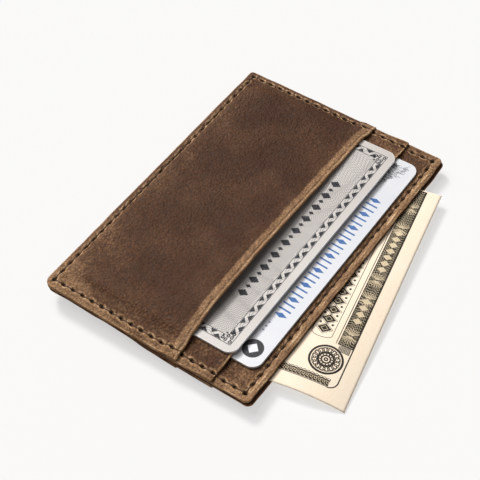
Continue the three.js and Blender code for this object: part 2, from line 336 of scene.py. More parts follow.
def spread(stops):
    """Positions through the (position, spacing) stops, denser where spacing is small."""
    places = [stops[0][0]]
    for (start, first), (end, last) in zip(stops, stops[1:]):
        at = start
        while True:
            t = (at - start) / (end - start)
            at += lerp(first, last, t)
            if at > end - 0.5 * last:
                break
            places.append(at)
        places.append(end)
    return np.array(places)


def loft(rings, size):
    """Faces between closed rings of points that follow one another."""
    index = np.arange(rings * size).reshape(rings, size)
    after = np.roll(index, -1, 1)
    return np.stack([index[:-1], after[:-1], after[1:], index[1:]], -1).reshape(-1, 4).tolist()


def tube_faces(rings, size):
    """Faces of a tube, closed at both ends."""
    end = list(range(size))
    return loft(rings, size) + [end[::-1], [k + (rings - 1) * size for k in end]]


def sheet_faces(rings, size):
    """Faces of a sheet whose rings run out along its upper side and back along its lower."""
    faces = loft(rings, size)
    for i in range(size // 2 - 1):
        quad = [i, i + 1, size - 2 - i, size - 1 - i]
        faces.append(quad[::-1])
        faces.append([k + (rings - 1) * size for k in quad])
    return faces


# Distances in from a cut edge, closest at the rounding, close again over the stitches.
EDGE_STOPS = [(0, 0.05), (0.3, 0.12), (1.2, 0.2), (3.6, 0.2), (4.6, 0.4), (8.6, 0.6)]
MIDDLE_SPACING = 1.3
STITCH_SPACING = 0.27
PLAIN_SPACING = 0.9
ROUNDING = 0.36
RIM = 0.22  # how far a cut edge's colour reaches in
SHOULDER = 0.5


def columns():
    """Shares of the half width, from -1 to 1."""
    inward = spread(EDGE_STOPS + [(HALF_LENGTH, MIDDLE_SPACING)])
    shares = 1 - inward / HALF_LENGTH
    return np.concatenate([-shares, shares[:-1][::-1]])


def rows(low, high, spacing):
    """Lines across the panel, close together at both of its ends."""
    close = spread([(0, 0.05), (0.3, 0.12), (2.8, min(0.2, spacing)), (3.2, spacing)])
    middle = spread([(low + close[-1], spacing), (high - close[-1], spacing)])
    return np.concatenate([low + close[:-1], middle, (high - close[:-1])[::-1]])


class Panel:
    """A leather panel from y = low to high, closed all round, with rounded cut edges."""

    def __init__(self, low, high, near_radius, far_radius, mouth_radius, neck=None, trim=0.0,
                 spacing=STITCH_SPACING):
        self.low = low
        self.high = high
        self.radii = (near_radius, far_radius, mouth_radius)
        self.neck = neck
        self.trim = trim
        self.y_lines = rows(low, high, spacing)
        self.wobble = Waves(8)

    def radius(self, x, y):
        near, far, mouth = self.radii
        return np.where(y > (self.low + self.high) / 2, mouth, np.where(x > 0, near, far))

    def half_width(self, x, y):
        """Half width of the outline at y, on the side that x is on."""
        radius = self.radius(x, y)
        from_end = np.minimum(y - self.low, self.high - y)
        near = np.clip(radius - from_end, 0, radius)
        half = HALF_LENGTH - radius + np.sqrt(radius**2 - near**2)
        if self.neck:
            shoulder = ramp(y, EAR_START - SHOULDER, EAR_START + SHOULDER)
            half = lerp(self.neck, half, shoulder)
        return half

    def edge_distance(self, x, y):
        middle = (0, (self.low + self.high) / 2)
        half = (HALF_LENGTH, (self.high - self.low) / 2)
        inside = -outline_distance(x, y, middle, half, self.radius(x, y))
        if self.neck:
            inside = np.minimum(inside, np.abs(self.half_width(x, y) - np.abs(x)))
        return np.maximum(inside, 0)

    def hand_cut(self, x, y):
        """Moves the cut edges a little in and out, so that the layers' edges differ."""
        sideways = (x / HALF_LENGTH) ** 9
        lengthways = ((2 * y - self.low - self.high) / (self.high - self.low)) ** 9
        trimmed = self.trim * ramp(y, 20, -20)
        x_cut = x + (0.09 * self.wobble(x, y) - trimmed) * sideways
        return x_cut, y + 0.07 * lengthways * self.wobble(y, x) - self.draw(x, y)

    def draw(self, x, y):
        """How far the leather is drawn back in y. Only the front pocket's mouth is."""
        return 0

    def build(self, name, material, under, thickness, grain_up, marks, rounding=ROUNDING):
        """under(x, y) is the lower face; marks(x, y) gives dent, wear with painted highlight and
        painted shade of the grain side, which is the upper face where grain_up is true."""
        shares = columns()
        y = np.repeat(self.y_lines[:, None], len(shares), 1)
        x = self.half_width(shares[None, :], y) * shares[None, :]
        distance = self.edge_distance(x, y)
        near = np.clip(rounding - distance, 0, rounding)
        inset = rounding - np.sqrt(np.maximum(rounding**2 - near**2, 0))
        lower = under(x, y)
        upper = lower + (thickness(x, y) if callable(thickness) else thickness)
        dent, wear_and_highlight, shade = marks(x, y)
        x, y = self.hand_cut(x, y)
        upper = upper - inset - dent * grain_up
        lower = lower + inset + dent * (not grain_up)
        around = lambda above, below: np.concatenate([above, below[:, ::-1]], 1)
        places = around(*(np.stack([x, y, z], -1) for z in (upper, lower))).reshape(-1, 3)
        made = new_object(name, places, sheet_faces(len(y), 2 * len(shares)), material)
        on_edge = ramp(distance, RIM, 0)
        plain = np.zeros(x.shape)
        for key, grain, flesh in (
            ("wear_and_highlight", wear_and_highlight, plain),
            ("shade", shade, plain),
            ("edge", on_edge, on_edge),
            ("flesh", plain, 1 - on_edge),
        ):
            both = around(grain, flesh) if grain_up else around(flesh, grain)
            set_attribute(made, key, both)
        return made


# --- Seams ---

def seam_run(start, end):
    """Needle holes from one corner of a seam to the next."""
    count = round(math.dist(start, end) / STITCH_PITCH)
    return np.linspace(start, end, count + 1)


CORNERS = [(-SEAM_X, SEAM_Y), (-SEAM_X, -SEAM_Y), (SEAM_X, -SEAM_Y), (SEAM_X, SEAM_Y)]
PERIMETER_RUNS = [seam_run(start, end) for start, end in zip(CORNERS, CORNERS[1:])]
OPEN_SIDE_RUN = seam_run(CORNERS[-1], CORNERS[0])

HOLE_STRETCH = 1.5
HOLE_SLANT = 0.5
SWELL_END = 30.5  # no leather swells up beside the seam past this line, where cards slide


def hole_distance(x, y, runs):
    """Distance to the nearest needle hole, which is long and slants across its seam, and to
    the nearest seam line."""
    to_hole = np.full(np.shape(x), 99.0)
    to_line = np.full(np.shape(x), 99.0)
    for run in runs:
        length = math.dist(run[0], run[-1])
        pitch = length / (len(run) - 1)
        (x0, y0), (dx, dy) = run[0], (run[-1] - run[0]) / length
        along = (x - x0) * dx + (y - y0) * dy
        across = (x - x0) * dy - (y - y0) * dx
        nearest = np.clip(np.round(along / pitch), 0, len(run) - 1) * pitch
        off_hole = (along - nearest - HOLE_SLANT * across) / HOLE_STRETCH
        past = np.maximum(np.maximum(-along, along - length), 0)
        to_hole = np.minimum(to_hole, np.hypot(off_hole, across))
        to_line = np.minimum(to_line, np.hypot(across, past))
    return to_hole, to_line


PUCKER_NOISE = Waves(2.6)
CREASE_NOISE = Waves(3.4)
EDGE_NOISE = Waves(9)
BLOTCH = Waves(17)
FINE_BLOTCH = Waves(4.5)


def seam_marks(x, y, runs):
    """Dent, wear and painted shade for lines of stitches: a paler ring on the puckers, partly
    pull-up paling and partly painted highlight, and painted shade in the holes and along the seam
    line.
    """
    to_hole, to_line = hole_distance(x, y, runs)
    groove = 0.1 * bell(to_line, 0.45)
    pull = 0.2 * bell(to_hole, 0.8)
    hole = 0.5 * bell(to_hole, 0.4)
    swell = 0.12 * bell(to_line - 0.95, 0.5) * (1 - bell(to_hole, 1.0)) * (y < SWELL_END)
    dent = groove + pull + hole - swell
    patchy = 0.8 + 0.5 * PUCKER_NOISE(x, y)
    # Paler ring on the puckers by each hole: partly pull-up paling, partly painted highlight
    ring = 1.5 * bell(to_hole - 0.8, 0.3) * bell(to_line - 0.45, 0.6)
    wear_and_highlight = np.clip(ring * patchy, 0, 1.25)
    # Painted shade in the needle holes and along the seam line
    shade = np.clip(2.4 * bell(to_hole, 0.38) + 0.3 * bell(to_line, 0.22), 0, 1)
    return dent, wear_and_highlight, shade


THREAD_RADIUS = 0.16
STITCH_DEPTH = 0.55
STITCH_SLANT = 0.1
STITCH_INSET = 0.06  # from the middle of its needle hole
STITCH_RINGS = 11
STITCH_SIDES = 8


def stitch(start, end, surface, side):
    """Rings round one tube of thread, which dives into its hole at both ends."""
    length = math.dist(start, end)
    along = (end - start) / length
    across = np.array([-along[1], along[0]])
    share = np.linspace(0, 1, STITCH_RINGS)
    travel = lerp(STITCH_INSET, length - STITCH_INSET, share)
    offset = lerp(-STITCH_SLANT, STITCH_SLANT, share)
    x, y = (start + np.outer(travel, along) + np.outer(offset, across)).T
    dive = STITCH_DEPTH * np.abs(2 * share - 1) ** 6
    centre = np.stack([x, y, surface(x, y) + side * (0.35 * THREAD_RADIUS - dive)], 1)
    tangent = np.gradient(centre, axis=0)
    tangent /= np.linalg.norm(tangent, axis=1)[:, None]
    wide = np.append(across, 0)
    up = np.cross(tangent, wide)[:, None]
    angle = 2 * math.pi * np.arange(STITCH_SIDES)[:, None] / STITCH_SIDES
    strands = 1 + 0.08 * np.sin(3 * angle + 1.9 * np.arange(STITCH_RINGS)[:, None, None])
    ring = np.cos(angle) * wide + np.sin(angle) * up
    return (centre[:, None] + THREAD_RADIUS * strands * ring).reshape(-1, 3)


# --- Heights of the layers ---

UNDULATION = Waves(24)
RIPPLE = Waves(8)

CLOSED_LIFT = 1.75  # the stitched band stands this much higher at the closed side
OPEN_LIFT = 0.4  # and this much at the open side
LIFT_END = 26.0
PARED = 0.24
PARED_BAND = 2.3
PARED_FADE = (22, 14)  # the layers keep their full thickness beyond it, at the open side
PINCH = 0.34
PINCH_BAND = (2.6, 0.6)
SEAM_EASE = 0.2
FLOOR_LINE = FLOOR_EDGE + 2.8  # a second pocket leaves the divider here
FLOOR_TOP = FLOOR_EDGE + 3.9  # and lies over its card from here up
NOTE_PLAY = 3.5  # room for the note to slide further in
BACK_EAR_RAMP = 22.0
BACK_REST = 0.14  # the back pocket's middle stands this high over the table
GAPE = 1.9  # how high the front pocket's mouth stands open
GAPE_RISE = (-44, 14)
GAPE_FALL = (44.5, 30.5)
GAPE_DEPTH = 20.0
DRAWN_BACK = 0.1
DRAWN_OUT = 0.4
CROWN = 0.22
CARD_CLEARANCE_RADIUS = 3.2


def lift(y):
    """How far the stitched band stands above the middle of the same layer."""
    return lerp(CLOSED_LIFT, OPEN_LIFT, ramp(y, BAND_Y, LIFT_END))


def from_edges(x, y):
    """0 in the stitched band, 1 inside it."""
    sides = ramp(np.abs(x), BAND_X, NECK_HALF_WIDTH)
    return np.minimum(sides, ramp(y, BAND_Y, FLOOR_EDGE))


def rise(x, y, ahead=0.0):
    return lift(y + ahead) * (1 - from_edges(x, y))


def from_outline(x, y):
    """Distance in from the short sides and the closed side."""
    return np.minimum(HALF_LENGTH - np.abs(x), HALF_WIDTH + y)


def pared(x, y):
    """How much thinner each layer is pared towards the wallet's outer edge."""
    return PARED * ramp(from_outline(x, y), PARED_BAND, 0) * ramp(y, *PARED_FADE)


def leather_thickness(x, y):
    return LEATHER - pared(x, y)


def back_divider_under(x, y):
    """Outside the stitches, the back layers come up to the lining."""
    closing = PINCH * ramp(from_outline(x, y), *PINCH_BAND)
    return MIDDLE_BACK + rise(x, y, NOTE_PLAY) + closing


def lining_under(x, y):
    return MIDDLE_LINING + rise(x, y) - pared(x, y)


def front_divider_under(x, y):
    return MIDDLE_DIVIDER + rise(x, y) - pared(x, y)


def draped(x, y, seam, middle, low, high, margin):
    """A panel between its seam line and the card under it, of which it keeps clear."""
    to_seam = np.maximum(np.minimum(SEAM_X - np.abs(x), y + SEAM_Y) - SEAM_EASE, 0)
    half = (high - low) / 2 + margin
    to_card = np.maximum(outline_distance(x, y, (low + high) / 2, half, CARD_CLEARANCE_RADIUS), 0)
    share = to_seam / (to_seam + to_card + 1e-6)
    return lerp(seam, middle, smooth(share))


def second_front_under(x, y):
    seam = MIDDLE_DIVIDER + STEP + rise(x, y) - 2 * pared(x, y)
    over_card = draped(x, y, seam, MIDDLE_SECOND, ID_LOW, ID_HIGH, margin=0.15)
    return lerp(MIDDLE_DIVIDER + STEP, over_card, ramp(y, FLOOR_LINE, FLOOR_TOP))


def ears(y):
    """1 where the second pockets reach out to the side seams."""
    return ramp(y, EAR_START - EAR_RAMP, EAR_START)


def gape(x, y):
    """0 to 1, most where the front pocket's mouth stands open."""
    along = ramp(x, *GAPE_RISE) * ramp(x, *GAPE_FALL)
    return along * ramp(y, FRONT_MOUTH - GAPE_DEPTH, FRONT_MOUTH)


def front_pocket_under(x, y):
    stack = STEP * (1 + ears(y)) - (2 + ears(y)) * pared(x, y)
    seam = MIDDLE_DIVIDER + stack + rise(x, y)
    over_card = draped(x, y, seam, MIDDLE_FRONT, PAYMENT_LOW, PAYMENT_HIGH, margin=0.12)
    inside = ramp(np.abs(x), HALF_LENGTH - 9, HALF_LENGTH - 31) * ramp(y, BAND_Y + 3, BAND_Y + 17)
    crown = inside * (CROWN + 0.05 * UNDULATION(x, y))
    return over_card + crown + GAPE * gape(x, y)


def second_back_under(x, y):
    return back_divider_under(x, y) - STEP + pared(x, y)


def back_pocket_under(x, y):
    over_ears = STEP * ramp(y, EAR_START - BACK_EAR_RAMP, EAR_START)
    return lerp(second_back_under(x, y) - over_ears, BACK_REST, from_edges(x, y))


# --- Leather pieces ---

def rim_wear_and_highlight(distance, x, y, reach=0.7):
    """Wax is rubbed off close to the cut edges; their rounded ridge gets a painted highlight,
    partly burnish.
    """
    patchy = 0.8 + 0.35 * EDGE_NOISE(x, y)
    # The ramp is rubbed-off wax; the bell is a painted highlight on the rounded ridge
    worn = 0.75 * (ramp(distance, reach, 0) + bell(distance - 0.2, 0.17))
    return np.clip(worn * patchy, 0, 1.6)


def flange_wear(x, y):
    """The band outside the stitches pales where it is handled, least on the closed side."""
    def beyond(value, seam):
        return ramp(value, seam - 0.2, seam + 0.4)

    sides = np.maximum(beyond(x, SEAM_X), 0.25 * beyond(-x, SEAM_X))
    handled = np.maximum(sides, 0.5 * beyond(y, SEAM_Y)) * (1 - beyond(-y, SEAM_Y))
    return 0.66 * handled * (0.85 + 0.3 * EDGE_NOISE(x, y) + 0.2 * FINE_BLOTCH(x, y))


def combine(*shares):
    """Shares of wear laid over one another. What is over 1, the painted highlight, is kept as it
    is.
    """
    left = 1.0
    for share in shares:
        left = left * (1 - np.clip(share, 0, 1))
    return 1 - left + sum(np.maximum(share - 1, 0) for share in shares)


CREASE_INSET = 1.15
# Middle of the pale corner, which is partly rubbed and partly painted sheen
SHEEN_AND_RUBBED_CORNER = (52, -33)


def front_pocket_marks(panel):
    """Creased and rubbed mouth with painted shade in the crease and a painted highlight on the
    lip, a corner paled partly by rubbing and partly by painted sheen, pale stitched edge.
    """
    def marks(x, y):
        dent, wear_and_highlight, shade = seam_marks(x, y, PERIMETER_RUNS)
        fine, coarse, edge = FINE_BLOTCH(x, y), BLOTCH(x, y), EDGE_NOISE(x, y)
        to_mouth = FRONT_MOUTH - y
        broken = smooth(0.75 + 0.8 * CREASE_NOISE(x, y))
        crease = bell(to_mouth - CREASE_INSET, 0.18) * broken
        rolled_lip = 0.1 * bell(to_mouth - 0.55, 0.35)
        dent = dent + 0.16 * crease - rolled_lip + 0.02 * RIPPLE(x, y)
        to_corner = np.hypot((x - SHEEN_AND_RUBBED_CORNER[0]) * 0.62, y - SHEEN_AND_RUBBED_CORNER[1])
        mouth = 0.8 * ramp(to_mouth, 3.5, 2.6) * (0.9 + 0.15 * fine)
        # Painted highlight along the rounded lip of the mouth, partly burnish
        ridge_highlight = 1.35 * bell(to_mouth - 0.5, 0.22) * (0.9 + 0.2 * edge)
        near_mouth = 0.2 * ramp(to_mouth, 7, 1) * (0.7 + 0.5 * fine)
        # Paler corner: partly rubbed, partly painted sheen
        corner = 0.43 * ramp(to_corner, 25, 0) * (0.85 + 0.25 * coarse + 0.15 * fine)
        near_seam = 0.3 * ramp(x, 38, BAND_X) * (0.8 + 0.3 * fine)
        far_edge = 0.22 * ramp(y, -20, -31) * (0.9 + 0.2 * fine)
        blotches = 0.14 * smooth(0.3 + coarse)
        rubbed_and_highlight = rim_wear_and_highlight(panel.edge_distance(x, y), x, y)
        wear_and_highlight = combine(
            wear_and_highlight, mouth, ridge_highlight, near_mouth, corner, near_seam, far_edge, blotches, rubbed_and_highlight,
            flange_wear(x, y),
        )
        # The crease adds painted shade
        return dent, wear_and_highlight, np.clip(shade + 0.55 * crease, 0, 1)

    return marks


LIP = 1.2


def flap_marks(panel, runs=PERIMETER_RUNS):
    """The parts of the inner panels that show: scuffed by the cards, pale at their mouth, with a
    painted highlight on the rounded ridge there.
    """
    def marks(x, y):
        dent, wear_and_highlight, shade = seam_marks(x, y, runs)
        scuffs = 0.42 * (0.85 + 0.18 * FINE_BLOTCH(x, y) + 0.25 * BLOTCH(x, y))
        rubbed_and_highlight = rim_wear_and_highlight(panel.edge_distance(x, y), x, y, 1.0)
        # Painted highlight along the rounded ridge by the mouth
        ridge_highlight = 1.45 * bell(HALF_WIDTH - LIP - y, 0.42) * (0.7 + 0.5 * EDGE_NOISE(x, y))
        wear_and_highlight = combine(wear_and_highlight, scuffs, rubbed_and_highlight, ridge_highlight, flange_wear(x, y))
        rolled = 0.12 * ramp(y, HALF_WIDTH - LIP, HALF_WIDTH)
        return dent + rolled + 0.02 * RIPPLE(x, y), wear_and_highlight, shade

    return marks


class FrontPocket(Panel):
    def draw(self, x, y):
        """The gaping middle of the mouth is drawn back, and its ends are drawn out."""
        ends = ramp(np.abs(x), 41, 47) * ramp(y, FRONT_MOUTH - 8, FRONT_MOUTH)
        return DRAWN_BACK * gape(x, y) - DRAWN_OUT * ends


def make_panels(leather):
    def second_pocket(trim=0.0):
        return Panel(FLOOR_EDGE, SECOND_MOUTH, 0.6, 0.6, 0.5, neck=NECK_HALF_WIDTH, trim=trim)

    corners = (NEAR_CORNER, FAR_CORNER)
    open_runs = PERIMETER_RUNS + [OPEN_SIDE_RUN]
    front = FrontPocket(-HALF_WIDTH, FRONT_MOUTH, *corners, 0.5)
    second = second_pocket()
    divider = Panel(-HALF_WIDTH, HALF_WIDTH, *corners, 1.7)
    back = Panel(-HALF_WIDTH, BACK_REACH, *corners, 1.6, trim=0.15)
    second_back = second_pocket(trim=0.3)
    back_pocket = Panel(-HALF_WIDTH, FRONT_MOUTH, *corners, 0.5, trim=0.55)
    front_side = (
        ("front_pocket", front, front_pocket_under, front_pocket_marks(front)),
        ("second_front_pocket", second, second_front_under, flap_marks(second)),
        ("front_divider", divider, front_divider_under, flap_marks(divider, open_runs)),
    )
    back_side = (
        ("back_divider", back, back_divider_under, flap_marks(back, open_runs)),
        ("second_back_pocket", second_back, second_back_under, flap_marks(second_back)),
        ("back_pocket", back_pocket, back_pocket_under, front_pocket_marks(back_pocket)),
    )
    for slot, side in (("front_leather", front_side), ("back_leather", back_side)):
        for name, panel, under, marks in side:
            grain_up = side is front_side
            piece = panel.build(
                name + "_leather", leather, under, leather_thickness, grain_up, marks,
            )
            add_piece(piece, "wallet", slot, name + "_panel")


def make_lining(cloth):
    lining = Panel(
        -HALF_WIDTH, HALF_WIDTH, NEAR_CORNER, FAR_CORNER, 2.2, trim=0.5, spacing=PLAIN_SPACING,
    )
    unmarked = lambda x, y: (0 * x, 0 * x, 0 * x)
    piece = lining.build(
        "cash_pocket_lining_cloth", cloth, lining_under, LINING, True, unmarked, rounding=0.12,
    )
    add_piece(piece, "wallet", "lining", "cash_pocket_lining")


# --- Threads ---

THREAD_SINK = 0.23
FLOOR_SEAM_INSET = 1.4


def showing(x, y, pocket, second_pocket, divider):
    """Height of the outermost layer of one side: pocket, second pocket or divider."""
    height = np.where(y < FRONT_MOUTH, pocket(x, y), second_pocket(x, y))
    return np.where(y > SECOND_MOUTH, divider(x, y), height)


def front_surface(x, y):
    """Top of the leather where the front seam runs."""
    under = showing(x, y, front_pocket_under, second_front_under, front_divider_under)
    return under + leather_thickness(x, y) - THREAD_SINK


def back_surface(x, y):
    return showing(x, y, back_pocket_under, second_back_under, back_divider_under) + THREAD_SINK


def front_floor_surface(x, y):
    return second_front_under(x, y) + LEATHER


def make_threads(thread):
    tube = tube_faces(STITCH_RINGS, STITCH_SIDES)
    edge = [OPEN_SIDE_RUN]
    floor_end = (NECK_HALF_WIDTH - 2, FLOOR_EDGE + FLOOR_SEAM_INSET)
    floor = [seam_run((-floor_end[0], floor_end[1]), floor_end)]
    for name, runs, surface, side, node in (
        ("front_seam", PERIMETER_RUNS, front_surface, 1, "perimeter_needle_thread"),
        ("back_seam", PERIMETER_RUNS, back_surface, -1, "perimeter_bobbin_thread"),
        ("front_edge", edge, front_surface, 1, "front_divider_edge_thread"),
        ("back_edge", edge, back_surface, -1, "back_divider_edge_thread"),
        ("front_floor", floor, front_floor_surface, 1, "front_pocket_floor_thread"),
        ("back_floor", floor, second_back_under, -1, "back_pocket_floor_thread"),
    ):
        points, faces = [], []
        for start, end in (pair for run in runs for pair in zip(run, run[1:])):
            faces.extend([k + len(points) for k in face] for face in tube)
            points.extend(stitch(start, end, surface, side))
        piece = new_object(name + "_stitches", points, faces, thread)
        add_piece(piece, "wallet", "thread", node)


# --- Cards ---

CARD_RADIUS = 3.18
CARD_RIM = 0.22
CARD_EDGE = 0.09
CARD_EASE = 0.03
CORNER_STEPS = 12


def rounded_outline(half_x, half_y, radius):
    """Points round a rectangle with round corners, anticlockwise."""
    points = []
    for corner, (sx, sy) in enumerate(((1, 1), (-1, 1), (-1, -1), (1, -1))):
        for i in range(CORNER_STEPS + 1):
            angle = math.pi / 2 * (corner + i / CORNER_STEPS)
            points.append((
                sx * (half_x - radius) + radius * math.cos(angle),
                sy * (half_y - radius) + radius * math.sin(angle),
            ))
    return np.array(points)


def card_solid(name, low, high, material):
    """A card whose edges are eased, with the pale core showing on its rim."""
    centre = (low + high) / 2
    half = (high - low) / 2
    eased = [(CARD_RIM, 0), (CARD_EDGE, 0), (CARD_EASE, CARD_EASE), (0, CARD_EDGE)]
    lower = [(inset, -half[2] + up) for inset, up in eased]
    upper = [(inset, half[2] - down) for inset, down in eased[::-1]]
    points, edge = [], []
    for inset, z in lower + upper:
        ring = rounded_outline(half[0] - inset, half[1] - inset, CARD_RADIUS - inset)
        points.extend((centre[0] + x, centre[1] + y, centre[2] + z) for x, y in ring)
        edge.extend([inset < CARD_RIM] * len(ring))
    faces = tube_faces(2 * len(eased), len(ring))
    made = new_object(name, points, faces, material, smooth_shading=False)
    set_attribute(made, "edge", edge)
    return made


# --- Printing ---

INK_HEIGHT = 0.008


class Print:
    """Flat ink shapes in a plane (u, v), laid on a surface by place(u, v, height)."""

    def __init__(self, place, step=99.0):
        self.place = place
        self.step = step
        self.points = []
        self.faces = []

    def face(self, outline, height):
        start = len(self.points)
        self.points.extend(self.place(u, v, height) for u, v in outline)
        self.faces.append(list(range(start, start + len(outline))))

    def shape(self, outline, height=INK_HEIGHT):
        """A convex outline, cut into triangles where it is too large to follow the surface."""
        outline = np.asarray(outline, float)
        if np.ptp(outline, 0).max() <= self.step:
            self.face(outline, height)
            return
        for i in range(1, len(outline) - 1):
            self.triangle(outline[[0, i, i + 1]], height)

    def triangle(self, corners, height):
        """Halves a triangle across its longest side until it is small enough."""
        sides = np.linalg.norm(corners - np.roll(corners, -1, 0), axis=1)
        longest = int(sides.argmax())
        if sides[longest] <= self.step:
            self.face(corners, height)
            return
        start, end, apex = np.roll(corners, -longest, 0)
        middle = (start + end) / 2
        self.triangle(np.array([start, middle, apex]), height)
        self.triangle(np.array([middle, end, apex]), height)

    def bar(self, u0, v0, u1, v1):
        """A rectangle, cut into pieces short enough to follow the surface."""
        us = np.linspace(u0, u1, math.ceil(abs(u1 - u0) / self.step) + 1)
        vs = np.linspace(v0, v1, math.ceil(abs(v1 - v0) / self.step) + 1)
        for a, b in zip(us, us[1:]):
            for c, d in zip(vs, vs[1:]):
                self.shape([(a, c), (b, c), (b, d), (a, d)])

    def line(self, path, width, height=INK_HEIGHT, keep=None):
        """A ribbon along a path. keep(u, v) drops the stretches outside an area."""
        path = np.asarray(path, float)
        along = np.gradient(path, axis=0)
        along /= np.maximum(np.linalg.norm(along, axis=1), 1e-9)[:, None]
        side = np.stack([-along[:, 1], along[:, 0]], 1) * width / 2
        left, right = path + side, path - side
        for i in range(len(path) - 1):
            if keep is None or keep(*(path[i] + path[i + 1]) / 2):
                self.shape([right[i], right[i + 1], left[i + 1], left[i]], height)

    def ring(self, u, v, radius, width, steps, height=INK_HEIGHT, squeeze=1.0):
        angle = np.linspace(0, 2 * math.pi, steps + 1)
        self.line((u, v) + polar((0, 0), radius, angle) * (squeeze, 1), width, height)

    def disc(self, u, v, radius, steps):
        angle = np.linspace(0, 2 * math.pi, steps, endpoint=False)
        self.shape(polar((u, v), radius, angle))

    def make(self, name, material, body):
        """The printed shapes as one object, attached to the card's or note's body."""
        made = new_object(name, self.points, self.faces, material, smooth_shading=False)
        add_piece(made, body, body)


def card_place(low, high):
    """Places (u, v) from the middle of the card's top edge, +u along X and +v down the card."""
    centre_u = (low[0] + high[0]) / 2
    return lambda u, v, height: (centre_u + u, high[1] - v, high[2] + height)


# Plain shapes that stand for printed titles: convex outlines in a cell from 0 to 1.
MARKS = {
    "slab": [(0.42, 0), (0.74, 0), (0.58, 1), (0.26, 1)],
    "lozenge": [(0.5, 0), (1, 0.5), (0.5, 1), (0, 0.5)],
    "bead": [(0.5, 0.24), (0.76, 0.5), (0.5, 0.76), (0.24, 0.5)],
}


def mark(printed, kind, u, v, width, height, stroke=None, ink_height=INK_HEIGHT):
    """One mark in its cell, filled, or as an outline where a stroke is given."""
    corners = np.array([(u + width * a, v + height * b) for a, b in MARKS[kind]])
    if stroke is None:
        printed.shape(corners, ink_height)
        return
    for start, end in zip(corners, np.roll(corners, -1, 0)):
        printed.line([start, end], stroke, ink_height)


def mark_row(printed, kinds, count, start, end, v, height, gap):
    """Marks side by side from start to end, the kinds coming round in turn."""
    pitch = (end - start) / count
    for i in range(count):
        mark(printed, kinds[i % len(kinds)], start + i * pitch, v, pitch - gap, height)


CARD_WIDTH, CARD_HEIGHT, _ = PAYMENT_HIGH - PAYMENT_LOW
BORDER_OUT = 2.4
BORDER_DEPTH = 2.2
BORDER_PITCH = 4.4
KNOT = BORDER_DEPTH + 0.9


def border_side(printed, start, end):
    """A pale ribbon that zigzags between dark leaves, between two rules, along a card's side."""
    length = math.dist(start, end)
    along = (end - start) / length
    inward = np.array([-along[1], along[0]])
    at = lambda s, t: start + along * s + inward * t
    for rule in (0, BORDER_DEPTH):
        printed.line([at(0, rule), at(length, rule)], 0.17)
    count = round(length / BORDER_PITCH)
    pitch = length / count
    outer_leaf = ((0.1 / pitch, 0.15), (0.66, 0.15), (0.4, BORDER_DEPTH - 0.75))
    inner_leaf = ((0.52, BORDER_DEPTH - 0.15), (0.82, 0.75), (1.04, BORDER_DEPTH - 0.15))
    for i in range(count):
        for leaf in (outer_leaf, inner_leaf):
            printed.shape([at(pitch * (i + a), t) for a, t in leaf])
        for offset in (0.22, 0.52):
            printed.line([
                at(
                    pitch * (i + t + 0.04),
                    BORDER_DEPTH * (offset + 0.24 * math.cos(2 * math.pi * t)),
                )
                for t in np.linspace(0, 1, 9)
            ], 0.1)


# Scrolls of a border's knot: their place, and which way they turn.
SCROLLS = (
    (0.75, 0.75, 1), (2.1, 0.85, -1), (0.85, 2.1, -1), (2.2, 2.2, 1), (3.3, 1.1, 1),
    (1.1, 3.3, 1),
)


def border_corner(printed, corner, inward):
    """A knot of scrolls and beads where two border sides meet."""
    at = lambda a, b: corner + inward * (a, b)
    turn = np.linspace(0, 2.2 * math.pi, 26)
    for a, b, sign in SCROLLS:
        printed.line([
            at(a + r * math.cos(sign * t), b + r * math.sin(sign * t))
            for r, t in zip(0.14 + 0.062 * turn, turn)
        ], 0.34)
    for a, b in ((0.75, 0.75), (1.2, -0.2), (-0.2, 1.2)):
        printed.disc(*at(BORDER_DEPTH + a, BORDER_DEPTH + b), 0.32, steps=10)
    for end in ((3.6, 0), (0, 3.6)):
        printed.line([corner, at(*end)], 0.2)


def payment_border(printed):
    half = CARD_WIDTH / 2 - BORDER_OUT
    low, high = BORDER_OUT, CARD_HEIGHT - BORDER_OUT
    corners = np.array([(-half, low), (half, low), (half, high), (-half, high)])
    for corner, after in zip(corners, np.roll(corners, -1, 0)):
        knot = KNOT * (after - corner) / math.dist(corner, after)
        border_side(printed, corner + knot, after - knot)
        border_corner(printed, corner, np.sign(corners.mean(0) - corner))


def sunburst(printed, centre, keep):
    """Wavy rays from a point, which make fine patterns where they cross the rings."""
    out = np.linspace(6, 74, 40)
    for angle in np.linspace(0, 2 * math.pi, 300, endpoint=False):
        sway = angle + 0.02 * np.sin(out * 0.9 + 3 * angle)
        printed.line(polar(centre, out, sway), 0.1, keep=keep)


def wavy_rings(printed, centre, keep):
    """Lobed rings one outside the other, as on engraved plates."""
    angle = np.linspace(0, 2 * math.pi, 300)
    for i in range(1, 93):
        radius = 0.54 * i * (1 + 0.014 * np.sin(36 * angle + 0.35 * i))
        printed.line(polar(centre, radius, angle), 0.11, keep=keep)


def make_payment_card(plastic, dark, faint):
    body = card_solid("payment_card_blank", PAYMENT_LOW, PAYMENT_HIGH, plastic)
    add_piece(body, "payment_card", "payment_card", "payment_card")
    place = card_place(PAYMENT_LOW, PAYMENT_HIGH)
    fine = Print(place)
    top = BORDER_OUT + BORDER_DEPTH + 0.1
    inside = lambda u, v: abs(u) < CARD_WIDTH / 2 - top and top < v < CARD_HEIGHT - top
    wavy_rings(fine, (0, CARD_HEIGHT * 0.62), inside)
    sunburst(fine, (24, CARD_HEIGHT * 0.5), inside)
    bold = Print(place)
    payment_border(bold)
    mark_row(bold, ("lozenge", "bead"), 19, -24.2, 25.6, 7.9, 3.5, 0.1)
    fine.make("payment_card_guilloche", faint, "payment_card")
    bold.make("payment_card_print", dark, "payment_card")


EMBLEM_PLACE = np.array([37.3, 4.7])
EMBLEM_RADIUS = 3.0
EMBLEM_LOZENGE = 3.5


